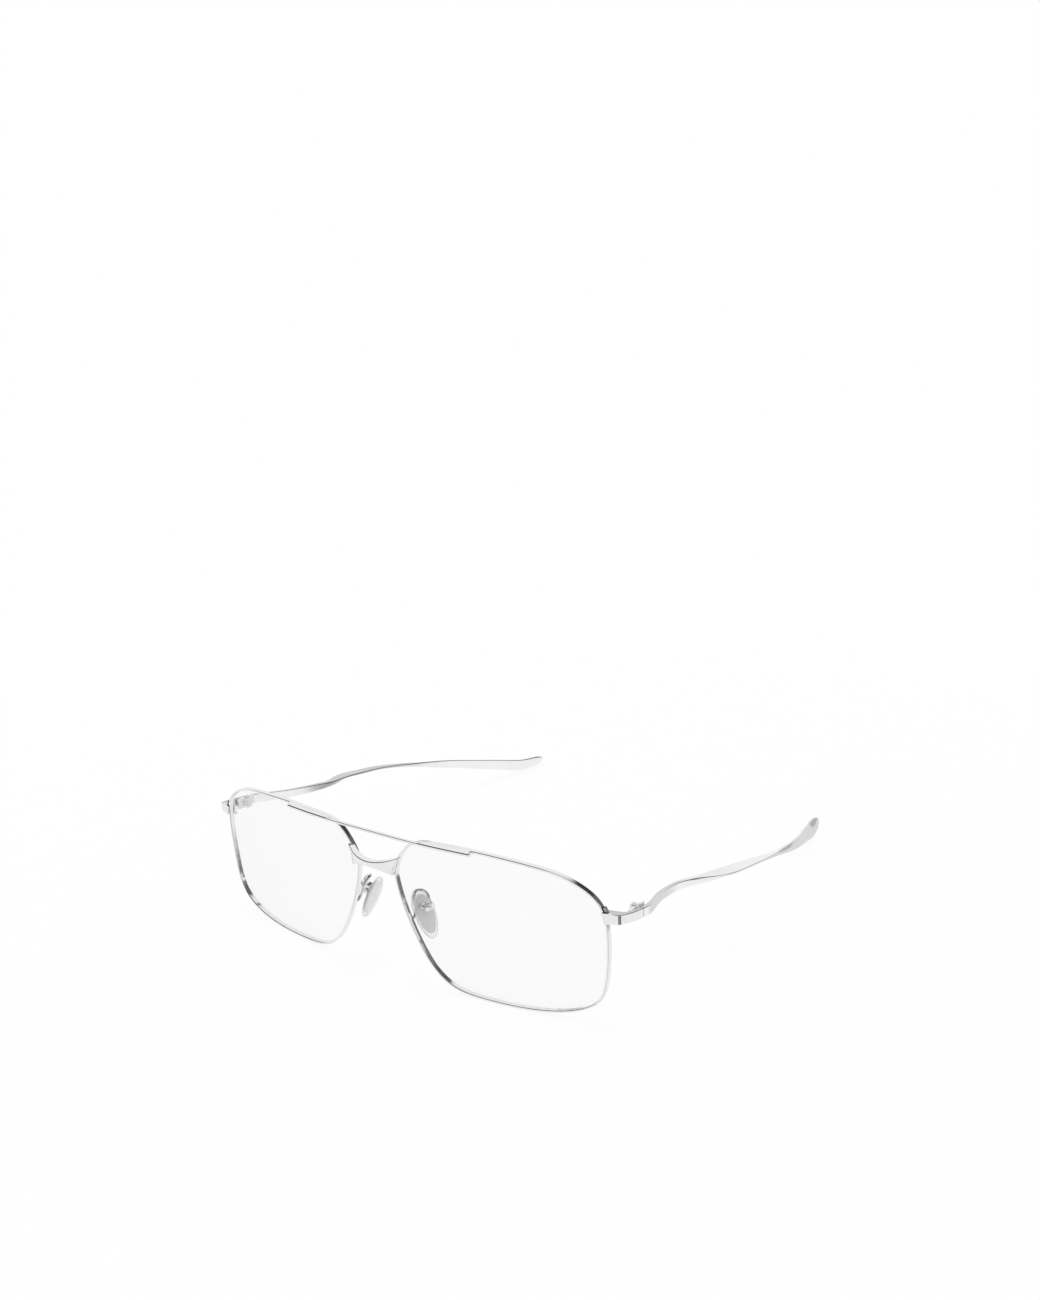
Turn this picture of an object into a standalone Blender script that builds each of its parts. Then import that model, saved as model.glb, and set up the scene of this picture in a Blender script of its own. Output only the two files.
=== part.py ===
# Metal eyeglasses with two bridges: a straight brow bar and a saddle bridge below it.
# Metres, +Z up. The wearer's left is +X and the front looks along -Y.
# The frame stands open on a table, on its two rims and its two temple tips, all at z = 0.

import bpy
import bmesh
import numpy as np
from math import atan2, cos, pi, radians, sin, tan
from mathutils import Matrix, Vector

MM = 0.001

# Clearances between pieces that are soldered or seated, and between pieces that turn
SEAT = 0.08 * MM
RUN = 0.06 * MM

# Lenses and rims
LENS_WIDTH = 58.8 * MM
LENS_HEIGHT = 41.2 * MM
LENS_DISTANCE = 13.4 * MM
LENS_THICKNESS = 1.1 * MM
LENS_RECESS = 0.25 * MM
LENS_RIDGE = 0.20 * MM
RIM_WIDTH = 0.61 * MM
RIM_DEPTH = 1.5 * MM
RIM_CHAMFER = 0.13 * MM
GROOVE_DEPTH = 0.28 * MM
GROOVE_OPENING = 0.40 * MM
RIM_SPLIT = 0.12 * MM
FACE_RADIUS = 188 * MM
FACE_FLAT = 6.8 * MM
FRONT_LEAN = radians(0.5)

# The rim's outer line, as shares of half its width and height, from the lower nasal corner round
OUTLINE = [
    (-0.916, -0.036), (-0.992, 0.347), (-0.977, 0.585), (-0.792, 0.917), (-0.478, 0.991), (-0.10, 0.995),
    (0.385, 0.938), (0.677, 0.838), (0.929, 0.574), (0.999, 0.137), (0.992, -0.231), (0.955, -0.586),
    (0.826, -0.824), (0.547, -0.956), (0.196, -1.0), (-0.142, -0.994), (-0.438, -0.933), (-0.702, -0.635),
]
SPANS = 5

# Brow bar and bridge
BAR_HALF = 31.0 * MM
BAR_HEIGHT = 0.65 * MM
BAR_DEPTH = 0.90 * MM
BAR_DROP = 1.30 * MM
BRIDGE_BOW = 3.0 * MM
BRIDGE_PROUD = 0.55 * MM
BRIDGE_DEPTH = 2.05 * MM
BRIDGE_HEIGHT = 1.4 * MM
BRIDGE_FOOT = 6.1 * MM
BRIDGE_SADDLE = 1.65 * MM
BRIDGE_OVERLAP = 3.25 * MM
BRIDGE_BOW_END = 1.80 * MM
# Height of its saddle on the rims' outline, as a share of half their height above the middle
BRIDGE_AT = 0.6134

# End pieces
STRAP_HEIGHT = 2.65 * MM
STRAP_WIDTH = 1.3 * MM
END_LAP = 2.3 * MM
END_CORNER = 1.4 * MM
END_CHAMFER = 0.62 * MM
# Height of their top edge on the rims' outline, as a share of half the rims' height above the middle
END_AT = 0.4720
END_REACH = 3.9 * MM
END_SIDE = 9.2 * MM
END_PROUD = 0.33 * MM
END_DEPTH = 2.9 * MM
END_FOOT = 0.65 * MM
SIDE_DROP = radians(9.9)

# Rim locks, in pockets of the end pieces beside the rims' split
LOCK_WIDTH = 0.75 * MM
LOCK_FRONT = 0.10 * MM
LOCK_DEPTH = 1.0 * MM
LOCK_ABOVE = 1.1 * MM
LOCK_INSET = 0.45 * MM
LOCK_SCREW = 0.40 * MM
LOCK_HEAD = 0.65 * MM
LOCK_HEAD_HEIGHT = 0.20 * MM

# Hinges
BARREL = 2.3 * MM
BARREL_HEIGHT = 2.9 * MM
BARREL_LIFT = 0.20 * MM
PIN = 0.9 * MM
SCREW_HEAD = 1.6 * MM
SCREW_HEAD_HEIGHT = 0.25 * MM
LEAF_LENGTH = 1.8 * MM
LEAF_THICKNESS = 0.70 * MM
LEAF_STEP = 0.15 * MM
SEAM = 0.10 * MM

# Temples
TEMPLE_LENGTH = 127.5 * MM
# Share of the length, step in from the hinge, share of the way down to the table, width, height, tilt
TEMPLE_FORM = [
    (0.000, 0.0, 0.000, 1.30, 2.65, 0), (0.022, 0.1, 0.016, 1.25, 2.65, 0),
    (0.047, 0.8, 0.033, 1.15, 2.60, 0), (0.086, 2.4, 0.059, 1.10, 2.50, 0),
    (0.118, 3.3, 0.081, 1.10, 2.40, 0), (0.165, 3.95, 0.114, 1.25, 2.30, 0),
    (0.212, 3.75, 0.150, 1.75, 2.10, -2), (0.260, 2.45, 0.187, 3.20, 1.75, -4),
    (0.305, 1.1, 0.220, 4.20, 1.50, -5), (0.350, 0.35, 0.253, 4.50, 1.40, -5),
    (0.405, 0.1, 0.296, 3.90, 1.35, -4), (0.465, 0.05, 0.348, 2.90, 1.35, -2),
    (0.530, 0.55, 0.423, 2.00, 1.50, 0), (0.590, 1.5, 0.502, 1.50, 1.85, 0),
    (0.660, 3.0, 0.602, 1.30, 2.45, 2), (0.720, 4.8, 0.691, 1.25, 2.95, 6),
    (0.785, 7.2, 0.790, 1.20, 3.40, 12), (0.850, 10.0, 0.889, 1.20, 3.95, 17),
    (0.905, 12.2, 0.971, 1.20, 4.30, 20), (0.942, 13.5, 1.000, 1.15, 4.30, 21),
    (0.970, 14.3, 0.997, 1.05, 3.80, 21), (0.990, 14.9, 0.984, 0.85, 2.75, 20),
    (1.000, 15.1, 0.962, 0.55, 1.50, 20),
]
STRAP_ROUND = 0.15 * MM
TIP_ROUND = 0.40 * MM

# Nose pads
PAD_HALF_LENGTH = 7.0 * MM
PAD_HALF_WIDTH = 3.3 * MM
PAD_THICKNESS = 2.2 * MM
PAD_BELOW = 4.3 * MM
PAD_OUT = 2.45 * MM
PAD_BEHIND = 7.0 * MM
PAD_LEAN = radians(24)
PAD_SPLAY = radians(8)
BOX_LENGTH = 2.7 * MM
BOX_WIDTH = 2.6 * MM
BOX_HEIGHT = 1.5 * MM
BOX_WALL = 0.40 * MM
BOX_ABOVE = 2.0 * MM
BOX_GAP = 0.40 * MM
STUB = 1.3 * MM
STUB_LENGTH = 2.0 * MM
PAD_SCREW = 0.70 * MM
PAD_SCREW_HEAD = 1.2 * MM
PAD_SCREW_HEAD_HEIGHT = 0.30 * MM
WIRE = 0.85 * MM
WIRE_BELOW = 3.0 * MM

# Derived places
RIM_HALF_WIDTH = LENS_WIDTH / 2 + RIM_WIDTH
RIM_HALF_HEIGHT = LENS_HEIGHT / 2 + RIM_WIDTH
LENS_CENTRE = LENS_DISTANCE / 2 + LENS_WIDTH / 2
RIM_TOP = 2 * RIM_HALF_HEIGHT
END_TOP = RIM_HALF_HEIGHT * (1 + END_AT)
SADDLE_TOP = RIM_HALF_HEIGHT * (1 + BRIDGE_AT)
RIM_OUTER = LENS_CENTRE + RIM_HALF_WIDTH


def clear_scene():
    for item in list(bpy.data.objects):
        bpy.data.objects.remove(item, do_unlink=True)


def face_y(x, z):
    """Depth of the rims' front face at a place of the front view."""
    away = max(0.0, abs(x) - FACE_FLAT)
    return away * away / (2 * FACE_RADIUS) - (z - RIM_HALF_HEIGHT) * tan(FRONT_LEAN)


def face_normal(x, z):
    """Unit vector from the front face backwards."""
    away = max(0.0, abs(x) - FACE_FLAT)
    slope = away / FACE_RADIUS * (1 if x >= 0 else -1)
    return Vector((-slope, 1, tan(FRONT_LEAN))).normalized()


def closed_spline(points, places):
    """Smooth closed curve through the points, read at places counted in points; also its slope."""
    p = np.array(points, float)
    n = len(p)
    system = 4 * np.eye(n) + np.roll(np.eye(n), 1, axis=1) + np.roll(np.eye(n), -1, axis=1)
    bend = np.linalg.solve(system, 6 * (np.roll(p, -1, axis=0) - 2 * p + np.roll(p, 1, axis=0)))
    out, slope = [], []
    for place in places:
        i = int(np.floor(place)) % n
        j = (i + 1) % n
        t = place - np.floor(place)
        s = 1 - t
        out.append(s * p[i] + t * p[j] + ((s ** 3 - s) * bend[i] + (t ** 3 - t) * bend[j]) / 6)
        slope.append(p[j] - p[i] + ((1 - 3 * s * s) * bend[i] + (3 * t * t - 1) * bend[j]) / 6)
    return np.array(out), np.array(slope)


def open_spline(points, count):
    """Smooth open curve through the points, read at count even places."""
    p = np.array(points, float)
    n = len(p)
    system = np.eye(n)
    right = np.zeros_like(p)
    for i in range(1, n - 1):
        system[i, i - 1:i + 2] = (1, 4, 1)
        right[i] = 6 * (p[i + 1] - 2 * p[i] + p[i - 1])
    bend = np.linalg.solve(system, right)
    out = []
    for place in np.linspace(0, n - 1, count):
        i = min(int(place), n - 2)
        t = place - i
        s = 1 - t
        out.append(s * p[i] + t * p[i + 1] + ((s ** 3 - s) * bend[i] + (t ** 3 - t) * bend[i + 1]) / 6)
    return np.array(out)


def material(name, colour, roughness, metallic, alpha=1.0, transmission=0.0):
    made = bpy.data.materials.new(name)
    made.use_nodes = True
    shader = made.node_tree.nodes["Principled BSDF"]
    shader.inputs["Base Color"].default_value = (*colour, 1)
    shader.inputs["Roughness"].default_value = roughness
    shader.inputs["Metallic"].default_value = metallic
    shader.inputs["Alpha"].default_value = alpha
    shader.inputs["Transmission Weight"].default_value = transmission
    return made


def make_object(name, bm, look, origin=(0, 0, 0), parent=None, turn=None, smooth=None):
    """Object from a bmesh whose vertices are measured from the origin."""
    bmesh.ops.recalc_face_normals(bm, faces=bm.faces)
    mesh = bpy.data.meshes.new(name)
    bm.to_mesh(mesh)
    bm.free()
    if smooth is not None:
        mesh.shade_smooth()
        mesh.set_sharp_from_angle(angle=radians(smooth))
    made = bpy.data.objects.new(name, mesh)
    bpy.context.scene.collection.objects.link(made)
    made.location = origin
    if turn is not None:
        made.rotation_euler = turn.to_euler()
    made.parent = parent
    if look is not None:
        mesh.materials.append(look)
    return made


def loft(rings):
    """Skin through rings of points, capped at both ends."""
    bm = bmesh.new()
    loops = [[bm.verts.new(point) for point in ring] for ring in rings]
    for one, two in zip(loops, loops[1:]):
        for i in range(len(one)):
            j = (i + 1) % len(one)
            bm.faces.new((one[i], one[j], two[j], two[i]))
    bm.faces.new(loops[0][::-1])
    bm.faces.new(loops[-1])
    return bm


def block(x, y, z):
    """Box between three pairs of limits."""
    bm = bmesh.new()
    bmesh.ops.create_cube(bm, size=1)
    size = Matrix.Diagonal((x[1] - x[0], y[1] - y[0], z[1] - z[0], 1))
    middle = Matrix.Translation((sum(x) / 2, sum(y) / 2, sum(z) / 2))
    bmesh.ops.transform(bm, matrix=middle @ size, verts=bm.verts)
    return bm


def prism(outline, low, high):
    """Upright prism on a flat outline."""
    bm = bmesh.new()
    base = bm.faces.new([bm.verts.new((x, y, low)) for x, y in outline])
    raised = bmesh.ops.extrude_face_region(bm, geom=[base])["geom"]
    bmesh.ops.translate(bm, vec=(0, 0, high - low), verts=[v for v in raised if isinstance(v, bmesh.types.BMVert)])
    return bm


def rod(diameter, start, end, sides=20):
    """Straight round bar from start to end."""
    start, end = Vector(start), Vector(end)
    along = end - start
    turn = along.to_track_quat("Z", "Y").to_matrix().to_4x4()
    bm = bmesh.new()
    bmesh.ops.create_cone(bm, cap_ends=True, segments=sides, radius1=diameter / 2, radius2=diameter / 2,
                          depth=along.length, matrix=Matrix.Translation((start + end) / 2) @ turn)
    return bm


def join_rods(name, rods, look, origin, parent=None):
    """Coaxial bars of different diameters as one turned solid."""
    made = make_object(name, rods[0], look, origin, parent, smooth=30)
    for extra in rods[1:]:
        boolean(made, make_object(name + "_step", extra, None, origin, parent), "UNION")
    return made


def boolean(target, tool, operation="DIFFERENCE"):
    tool.hide_render = True
    tool.display_type = "WIRE"
    modifier = target.modifiers.new(operation.title(), "BOOLEAN")
    modifier.operation = operation
    modifier.solver = "EXACT"
    modifier.object = tool


def tube(points, diameter, sides=10):
    """Round wire along a path of points."""
    rings = []
    side = None
    for i, point in enumerate(points):
        ahead = (points[min(i + 1, len(points) - 1)] - points[max(i - 1, 0)]).normalized()
        side = ahead.orthogonal() if side is None else side - ahead * side.dot(ahead)
        side.normalize()
        other = ahead.cross(side)
        rings.append([point + diameter / 2 * (cos(2 * pi * k / sides) * side + sin(2 * pi * k / sides) * other)
                      for k in range(sides)])
    return loft(rings)


def rim_place(z, temple_side=True):
    """Where the rim's outer line passes a height, on its temple side or its nose side."""
    fine = np.linspace(7, 11, 801) if temple_side else np.linspace(16, 19, 601)
    heights = closed_spline(OUTLINE, fine)[0][:, 1] * RIM_HALF_HEIGHT + RIM_HALF_HEIGHT
    return fine[int(np.argmin(np.abs(heights - z)))]


def rim_stations(gap=0.0, limits=None):
    """Places round the rim from one side of its split to the other, or between two heights beside the
    temple: outer point and outward direction."""
    start = rim_place(END_TOP - STRAP_HEIGHT / 2)
    n = len(OUTLINE)
    span = gap / (2 * RIM_HALF_HEIGHT * 0.47)
    places = start + np.linspace(span / 2, n - span / 2, n * SPANS)
    if limits is not None:
        places = np.linspace(rim_place(limits[1]), rim_place(limits[0]), 6)
    points, slopes = closed_spline(OUTLINE, places)
    size = np.array((RIM_HALF_WIDTH, RIM_HALF_HEIGHT))
    points = points * size
    slopes = slopes * size
    outward = np.c_[-slopes[:, 1], slopes[:, 0]]
    outward /= np.hypot(outward[:, 0], outward[:, 1])[:, None]
    return points, outward


def rim_ring(side, gap, section, limits=None):
    """Section points (out, depth) measured from the rim's outer front edge, carried round the rim."""
    rings = []
    points, outward = rim_stations(gap, limits)
    for (px, pz), (ox, oz) in zip(points, outward):
        ring = []
        for out, depth in section:
            x = side * (LENS_CENTRE + px + out * ox)
            z = RIM_HALF_HEIGHT + pz + out * oz
            ring.append(Vector((x, face_y(x, z), z)) + depth * face_normal(x, z))
        rings.append(ring)
    return rings


def make_rim(name, side, look, parent):
    w, d, c = RIM_WIDTH, RIM_DEPTH, RIM_CHAMFER
    g, h = GROOVE_DEPTH, GROOVE_OPENING / 2
    section = [(-c, 0), (0, c), (0, d - c), (-c, d), (c - w, d), (-w, d - c),
               (-w, d / 2 + h), (g - w, d / 2), (-w, d / 2 - h), (-w, c), (c - w, 0)]
    return make_object(name, loft(rim_ring(side, RIM_SPLIT, section)), look, parent=parent, smooth=50)


def make_lens(name, side, look, parent):
    """Thin curved lens whose edge ridge sits in the rim's groove."""
    middle = RIM_DEPTH / 2
    body = -RIM_WIDTH - SEAT
    ridge = -RIM_WIDTH + LENS_RIDGE
    half = GROOVE_OPENING / 2 - SEAT
    back = LENS_RECESS + LENS_THICKNESS
    edge = [(body, LENS_RECESS), (body, middle - half), (ridge, middle), (body, middle + half), (body, back)]
    bm = bmesh.new()
    loops = [[] for _ in range(len(edge) + 4)]
    shares = (0.33, 0.68)
    for ring in rim_ring(side, 0, edge):
        front, rear = ring[0], ring[-1]
        inner = []
        for share, depth, rim_point in [(s, LENS_RECESS, front) for s in shares] + \
                [(s, back, rear) for s in reversed(shares)]:
            x = side * LENS_CENTRE + share * (rim_point.x - side * LENS_CENTRE)
            z = RIM_HALF_HEIGHT + share * (rim_point.z - RIM_HALF_HEIGHT)
            inner.append(Vector((x, face_y(x, z), z)) + depth * face_normal(x, z))
        for loop, point in zip(loops, inner[:2] + ring + inner[2:]):
            loop.append(bm.verts.new(point))
    for one, two in zip(loops, loops[1:]):
        for i in range(len(one)):
            j = (i + 1) % len(one)
            bm.faces.new((one[i], one[j], two[j], two[i]))
    x, z = side * LENS_CENTRE, RIM_HALF_HEIGHT
    for loop, depth in ((loops[0], LENS_RECESS), (loops[-1], back)):
        centre = bm.verts.new(Vector((x, face_y(x, z), z)) + depth * face_normal(x, z))
        for i in range(len(loop)):
            bm.faces.new((loop[i], loop[(i + 1) % len(loop)], centre))
    return make_object(name, bm, look, parent=parent, smooth=30)


def seat_cutter(name, side, parent):
    """What a piece soldered over a rim leaves free: the rim with all that it goes round."""
    front = [(SEAT, -SEAT), (SEAT, RIM_DEPTH + SEAT)]
    rings = rim_ring(side, 0, front)
    return make_object(name, loft([[r[0] for r in rings], [r[1] for r in rings]]), None, parent=parent)


def opening_cutter(name, side, parent):
    """The lens opening, cut right through whatever stands in front of it."""
    reach = 2 * (BRIDGE_BOW + END_DEPTH)
    lines = [(-RIM_WIDTH, -reach), (-RIM_WIDTH, reach)]
    rings = rim_ring(side, 0, lines)
    return make_object(name, loft([[r[0] for r in rings], [r[1] for r in rings]]), None, parent=parent)


def make_bar(name, look, parent):
    """Straight flat bar in front of the rim tops, following the face curve."""
    low = RIM_TOP - BAR_DROP
    c = 0.12 * MM
    h = BAR_HEIGHT
    rings = []
    for x in np.linspace(-BAR_HALF, BAR_HALF, 33):
        back = -SEAT
        front = back - BAR_DEPTH
        ring = []
        for depth, up in ((front + c, 0), (back - c, 0), (back, c), (back, h - c), (back - c, h),
                          (front + c, h), (front, h - c), (front, c)):
            ring.append(Vector((x, face_y(x, low + up), low + up)) + depth * face_normal(x, low))
        rings.append(ring)
    return make_object(name, loft(rings), look, parent=parent)


def make_bridge(name, look, parent, cutters):
    """Saddle plate that bows forwards between the rims and flares where it is soldered to them."""
    reach = LENS_DISTANCE / 2 + BRIDGE_OVERLAP
    foot = LENS_DISTANCE / 2 + BRIDGE_BOW_END
    saddle = SADDLE_TOP
    rings = []
    for x in np.linspace(-reach, reach, 35):
        share = (x / foot) ** 2
        front = -BRIDGE_PROUD - BRIDGE_BOW * (1 - min(share, 1))
        top = saddle + BRIDGE_SADDLE * share
        low = saddle - BRIDGE_HEIGHT - (BRIDGE_FOOT - BRIDGE_HEIGHT - BRIDGE_SADDLE) * share
        back = front + BRIDGE_DEPTH
        c = 0.15 * MM
        rings.append([Vector((x, y + face_y(x, z), z)) for y, z in (
            (front, low + c), (front + c, low), (back - c, low), (back, low + c),
            (back, top - c), (back - c, top), (front + c, top), (front, top - c))])
    made = make_object(name, loft(rings), look, parent=parent)
    for cutter in cutters:
        boolean(made, cutter)
    return made


def end_line():
    """Top view of the end piece: outer and inner points from the rim round to the seam, on the +X side."""
    inner_x = RIM_OUTER - END_LAP
    corner_x = RIM_OUTER + END_REACH - END_CORNER
    side_x = RIM_OUTER + END_REACH
    front = face_y(inner_x, END_TOP) - END_PROUD
    corner_y = face_y(RIM_OUTER, END_TOP) + 0.25 * MM
    outer = [(inner_x, front), (corner_x, corner_y), (corner_x + END_CHAMFER, corner_y + END_CHAMFER),
             (side_x - 0.10 * MM, corner_y + 0.5 * END_SIDE), (side_x, corner_y + END_SIDE)]
    inner = [(side_x - STRAP_WIDTH, corner_y + END_SIDE),
             (side_x - STRAP_WIDTH, corner_y + 0.5 * END_SIDE),
             (corner_x - 0.45 * MM, corner_y + END_DEPTH + 0.35 * MM), (inner_x, front + END_DEPTH),
             (inner_x, corner_y)]
    return outer, inner


def make_end_piece(name, side, look, parent, cutters):
    """Plate in front of the rim that turns the corner and runs back, dropping, to the temple."""
    outer, inner = end_line()
    seam_y = outer[-1][1]
    corner_y = outer[1][1]
    outline = outer + inner
    bm = bmesh.new()
    levels = []
    for top in (False, True):
        loop = []
        for x, y in outline:
            drop = max(0.0, y - corner_y) * tan(SIDE_DROP)
            z = END_TOP - drop
            if not top:
                z -= STRAP_HEIGHT
                if x < RIM_OUTER:
                    z -= END_FOOT
            loop.append(bm.verts.new((side * x, y, z)))
        levels.append(loop)
    n = len(outline)
    for i in range(n):
        j = (i + 1) % n
        bm.faces.new((levels[0][i], levels[0][j], levels[1][j], levels[1][i]))
    for loop in levels:
        bmesh.ops.triangulate(bm, faces=[bm.faces.new(loop)])
    made = make_object(name, bm, look, parent=parent)
    for cutter in cutters:
        boolean(made, cutter)
    return made


def lock_heights():
    """Bottom, split and top of the rim lock."""
    return END_TOP - STRAP_HEIGHT + LOCK_INSET, END_TOP - STRAP_HEIGHT / 2, END_TOP + LOCK_ABOVE


def lock_section(gap):
    """Section of the lock beside the rim, as (out, depth), widened by a gap."""
    out = (SEAT - gap, SEAT + LOCK_WIDTH + gap)
    depth = (LOCK_FRONT - gap, LOCK_FRONT + LOCK_DEPTH + gap)
    return [(out[0], depth[0]), (out[1], depth[0]), (out[1], depth[1]), (out[0], depth[1])]


def lock_pocket(name, side, parent):
    low, split, high = lock_heights()
    rings = rim_ring(side, 0, lock_section(SEAT), (low - 1 * MM, high + 1 * MM))
    return make_object(name, loft(rings), None, parent=parent)


def make_lock(side, tag, look, screw_look, parent):
    """Two blocks beside the rim's split, drawn together by a screw from below."""
    low, split, high = lock_heights()
    upper_rings = rim_ring(side, 0, lock_section(0), (split + RIM_SPLIT / 2, high))
    lower_rings = rim_ring(side, 0, lock_section(0), (low, split - RIM_SPLIT / 2))
    upper = make_object(tag + "_lock_upper", loft(upper_rings), look, parent=parent)
    lower = make_object(tag + "_lock_lower", loft(lower_rings), look, parent=parent)
    top = sum(upper_rings[0], Vector()) / 4
    bottom = sum(lower_rings[-1], Vector()) / 4
    up = (top - bottom).normalized()
    tapped = top - up * 0.5 * MM
    bore = make_object(tag + "_lock_bore", rod(LOCK_SCREW + 2 * RUN, bottom - up * MM, tapped), None,
                       parent=parent)
    for part in (upper, lower):
        boolean(part, bore)
    seat = bottom - up * (RUN + 0.08 * MM)
    head = rod(LOCK_HEAD, seat - up * LOCK_HEAD_HEIGHT, seat)
    shank = rod(LOCK_SCREW, seat - up * LOCK_HEAD_HEIGHT / 2, tapped - up * RUN)
    join_rods(tag + "_lock_screw", [head, shank], screw_look, (0, 0, 0), parent)


def hinge_place():
    """Axis of the hinge on the +X side, and the middle height of its barrel."""
    outer, inner = end_line()
    seam_x, seam_y = inner[0]
    axis_x = seam_x - SEAT - BARREL / 2
    axis_y = seam_y - 0.35 * MM
    drop = (seam_y - outer[1][1]) * tan(SIDE_DROP)
    middle_z = END_TOP - drop - STRAP_HEIGHT / 2 + BARREL_LIFT
    return axis_x, axis_y, middle_z, seam_y


def make_hinge_leaf(name, side, look, origin, parent, direction, slots):
    """Flat leaf beside the strap that rolls into a barrel round the axis; slots part its knuckles."""
    r = BARREL / 2
    outer_x = r - LEAF_STEP
    inner_x = outer_x - LEAF_THICKNESS
    start = r + 2 * RUN
    end = start + LEAF_LENGTH
    leave = atan2((r * r - outer_x * outer_x) ** 0.5, outer_x)
    meet = atan2((r * r - inner_x * inner_x) ** 0.5, inner_x)
    outline = [(outer_x, end)]
    for k in range(21):
        angle = leave - (2 * pi - meet + leave) * k / 20
        outline.append((r * cos(angle), r * sin(angle)))
    outline.append((inner_x, end))
    half = BARREL_HEIGHT / 2
    made = make_object(name, prism([(side * x, direction * y) for x, y in outline], -half, half),
                       look, origin, parent, smooth=30)
    limits_x = (-2 * r, 2 * r)
    limits_y = sorted((-direction * 2 * r, direction * start))
    for k, levels in enumerate(slots):
        slot = make_object("%s_slot_%d" % (name, k), block(limits_x, limits_y, levels), None, origin, parent)
        boolean(made, slot)
    bore = make_object(name + "_bore", rod(PIN + 2 * RUN, (0, 0, -BARREL_HEIGHT), (0, 0, BARREL_HEIGHT)),
                       None, origin, parent)
    boolean(made, bore)
    return made


def make_hinge(side, tag, look, screw_look, parent, temple_parent):
    """Three-knuckle hinge inside the strap: two knuckles on the front leaf, one on the temple leaf."""
    x, y, z, seam_y = hinge_place()
    origin = (side * x, y, z)
    h = BARREL_HEIGHT / 2
    third = (BARREL_HEIGHT - 2 * RUN) / 3
    middle = third / 2
    make_hinge_leaf(tag + "_hinge_front_leaf", side, look, origin, parent, -1,
                    [(-middle - RUN, middle + RUN)])
    make_hinge_leaf(tag + "_hinge_temple_leaf", side, look, (0, 0, 0), temple_parent, 1,
                    [(-h - RUN, -middle), (middle, h + RUN)])
    head = rod(SCREW_HEAD, (0, 0, h + RUN), (0, 0, h + RUN + SCREW_HEAD_HEIGHT))
    shank = rod(PIN, (0, 0, -h - RUN), (0, 0, h + 2 * RUN))
    join_rods(tag + "_hinge_screw", [head, shank], screw_look, origin, parent)


def temple_sections(side):
    """Rings of the temple measured from the hinge axis."""
    x, y, z, seam_y = hinge_place()
    outer, inner = end_line()
    start_x = (outer[-1][0] + inner[0][0]) / 2
    drop = (seam_y - outer[1][1]) * tan(SIDE_DROP)
    start_low = END_TOP - drop - STRAP_HEIGHT
    rows = open_spline(TEMPLE_FORM, 5 * (len(TEMPLE_FORM) - 1) // 2 + 1)
    rings = []
    for share, inward, down, width, height, tilt in rows:
        share = min(max(share, 0.0), 1.0)
        low = start_low * (1 - down)
        half_w, half_h = width * MM / 2, height * MM / 2
        centre = Vector((start_x - inward * MM - x, seam_y + SEAM + share * TEMPLE_LENGTH - y, 0))
        turn = radians(tilt)
        blend = min(1.0, max(0.0, (share - 0.12) / 0.5))
        bend = min(STRAP_ROUND + blend * (TIP_ROUND - STRAP_ROUND), 0.9 * half_w, 0.9 * half_h)
        ring = []
        for right, up in ((1, 1), (-1, 1), (-1, -1), (1, -1)):
            corner = atan2(up, right)
            for angle in (corner - pi / 4, corner, corner + pi / 4):
                u = right * (half_w - bend) + bend * cos(angle)
                v = up * (half_h - bend) + bend * sin(angle)
                ring.append((u * cos(turn) - v * sin(turn), u * sin(turn) + v * cos(turn)))
        lift = low - z - min(point[1] for point in ring)
        rings.append([Vector((side * (centre.x + u), centre.y, v + lift)) for u, v in ring])
    return rings


def make_temple(name, side, look, parent):
    return make_object(name, loft(temple_sections(side)), look, parent=parent, smooth=35)


def pad_frame(side):
    """Pad middle and its long, width and nose-facing directions."""
    middle = Vector((side * (LENS_DISTANCE / 2 + PAD_OUT), PAD_BEHIND, RIM_HALF_HEIGHT - PAD_BELOW))
    lean = Matrix.Rotation(-PAD_LEAN * side, 3, "Y")
    splay = Matrix.Rotation(-PAD_SPLAY * side, 3, "Z")
    turn = splay @ lean
    return middle, turn


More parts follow.
